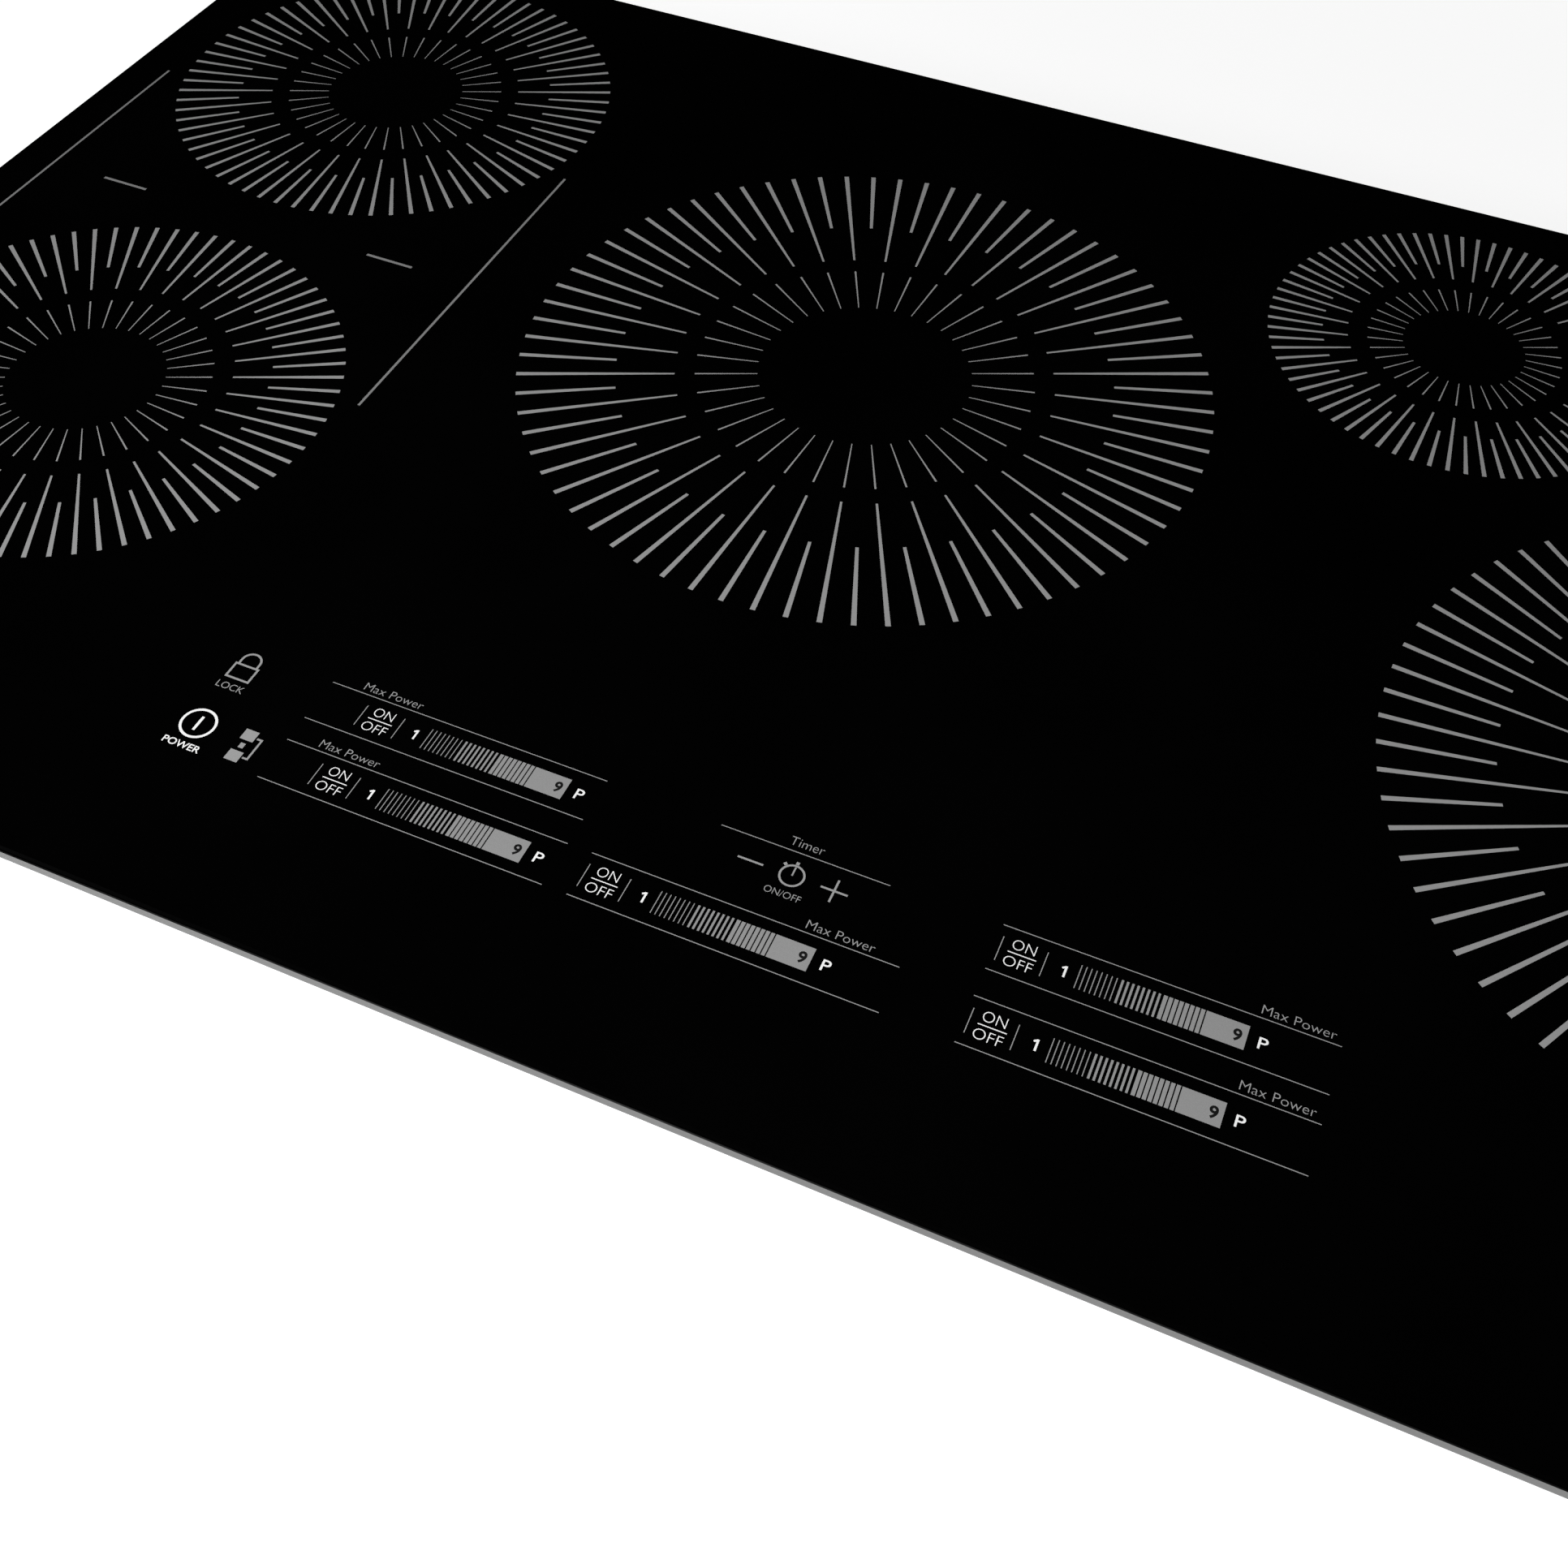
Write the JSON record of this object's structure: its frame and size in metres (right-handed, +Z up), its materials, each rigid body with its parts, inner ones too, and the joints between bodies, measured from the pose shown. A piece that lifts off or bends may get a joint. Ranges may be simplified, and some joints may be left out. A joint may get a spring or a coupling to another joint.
{
  "type": "induction cooktop",
  "caption": "Drop-in electric induction cooktop: black glass top with printed heating zones and touch controls, thin metal edge trim, and a sheet-metal pan of coils, boards and blowers below.",
  "frame": {"origin": "centre of the footprint, on the underside of the bottom pan", "axes": "+X to the user's right, +Y to the back, +Z up through the glass"},
  "size_m": [0.924, 0.551, 0.098],
  "materials": {
    "glass": "polished black glass-ceramic, opaque, printed on top",
    "stainless": "brushed along its length",
    "foam": "closed-cell foam tape",
    "silicone": "smooth cured bead",
    "galvanised": "galvanised sheet, spangled",
    "aluminium": "mill finish",
    "zinc": "zinc plated",
    "nylon_black": "moulded, fine grain",
    "nylon_white": "glass-filled, off-white",
    "copper": "enamelled litz wire",
    "mica": "pressed mica sheet with a pearly fleck",
    "board": "green solder mask"
  },
  "bodies": {
    "root": {"glass_top": "glass", "edge_trim": "stainless", "gasket_front": "foam", "gasket_back": "foam", "gasket_left": "foam", "gasket_right": "foam", "glass_adhesive": "silicone", "frame_rail_front": "galvanised", "frame_rail_back": "galvanised", "frame_rail_left": "galvanised", "frame_rail_right": "galvanised", "bottom_pan": "galvanised", "inlet_cover": "galvanised", "conduit_gland": "zinc", "gland_locknut": "zinc", "terminal_block": "nylon_black", "clamp_bracket_front_left": "zinc", "clamp_bracket_rear_left": "zinc", "clamp_bracket_front_right": "zinc", "clamp_bracket_rear_right": "zinc", "coil_plate_left": "aluminium", "coil_plate_centre": "aluminium", "coil_plate_right": "aluminium", "coil_former_front_left": "nylon_white", "coil_winding_front_left": "copper", "mica_disc_front_left": "mica", "coil_former_rear_left": "nylon_white", "coil_winding_rear_left": "copper", "mica_disc_rear_left": "mica", "coil_former_centre": "nylon_white", "coil_winding_centre": "copper", "mica_disc_centre": "mica", "coil_former_rear_right": "nylon_white", "coil_winding_rear_right": "copper", "mica_disc_rear_right": "mica", "coil_former_front_right": "nylon_white", "coil_winding_front_right": "copper", "mica_disc_front_right": "mica", "power_board_left": "board", "power_board_centre": "board", "power_board_right": "board", "filter_board": "board", "heatsink_left": "aluminium", "heatsink_centre": "aluminium", "heatsink_right": "aluminium", "blower_housing_left": "nylon_black", "blower_housing_right": "nylon_black", "control_carrier": "nylon_black", "control_board": "board"},
    "rotor_left": {"blower_rotor_left": "nylon_black"},
    "rotor_right": {"blower_rotor_right": "nylon_black"},
    "screw_front_left": {"clamp_screw_front_left": "zinc"},
    "screw_rear_left": {"clamp_screw_rear_left": "zinc"},
    "screw_front_right": {"clamp_screw_front_right": "zinc"},
    "screw_rear_right": {"clamp_screw_rear_right": "zinc"},
    "sensor_front_left": {"temperature_sensor_front_left": "nylon_white"},
    "sensor_rear_left": {"temperature_sensor_rear_left": "nylon_white"},
    "sensor_centre": {"temperature_sensor_centre": "nylon_white"},
    "sensor_rear_right": {"temperature_sensor_rear_right": "nylon_white"},
    "sensor_front_right": {"temperature_sensor_front_right": "nylon_white"}
  },
  "joints": [
    {"name": "rotor_spin_left", "type": "hinge", "parent": "root", "child": "rotor_left", "pos_m": [-0.345, 0.118, 0.015], "axis": [0, 0, 1], "continuous": true},
    {"name": "rotor_spin_right", "type": "hinge", "parent": "root", "child": "rotor_right", "pos_m": [0.29, 0.118, 0.015], "axis": [0, 0, 1], "continuous": true},
    {"name": "clamp_screw_travel_front_left", "type": "slide", "parent": "root", "child": "screw_front_left", "axis": [0, 0, 1], "range_m": [-0.003, 0.02]},
    {"name": "clamp_screw_travel_rear_left", "type": "slide", "parent": "root", "child": "screw_rear_left", "axis": [0, 0, 1], "range_m": [-0.003, 0.02]},
    {"name": "clamp_screw_travel_front_right", "type": "slide", "parent": "root", "child": "screw_front_right", "axis": [0, 0, 1], "range_m": [-0.003, 0.02]},
    {"name": "clamp_screw_travel_rear_right", "type": "slide", "parent": "root", "child": "screw_rear_right", "axis": [0, 0, 1], "range_m": [-0.003, 0.02]},
    {"name": "sensor_travel_front_left", "type": "slide", "parent": "root", "child": "sensor_front_left", "axis": [0, 0, 1], "range_m": [-0.003, 0], "stiffness_N_per_m": 300, "springref_m": 0.004},
    {"name": "sensor_travel_rear_left", "type": "slide", "parent": "root", "child": "sensor_rear_left", "axis": [0, 0, 1], "range_m": [-0.003, 0], "stiffness_N_per_m": 300, "springref_m": 0.004},
    {"name": "sensor_travel_centre", "type": "slide", "parent": "root", "child": "sensor_centre", "axis": [0, 0, 1], "range_m": [-0.003, 0], "stiffness_N_per_m": 300, "springref_m": 0.004},
    {"name": "sensor_travel_rear_right", "type": "slide", "parent": "root", "child": "sensor_rear_right", "axis": [0, 0, 1], "range_m": [-0.003, 0], "stiffness_N_per_m": 300, "springref_m": 0.004},
    {"name": "sensor_travel_front_right", "type": "slide", "parent": "root", "child": "sensor_front_right", "axis": [0, 0, 1], "range_m": [-0.003, 0], "stiffness_N_per_m": 300, "springref_m": 0.004}
  ]
}
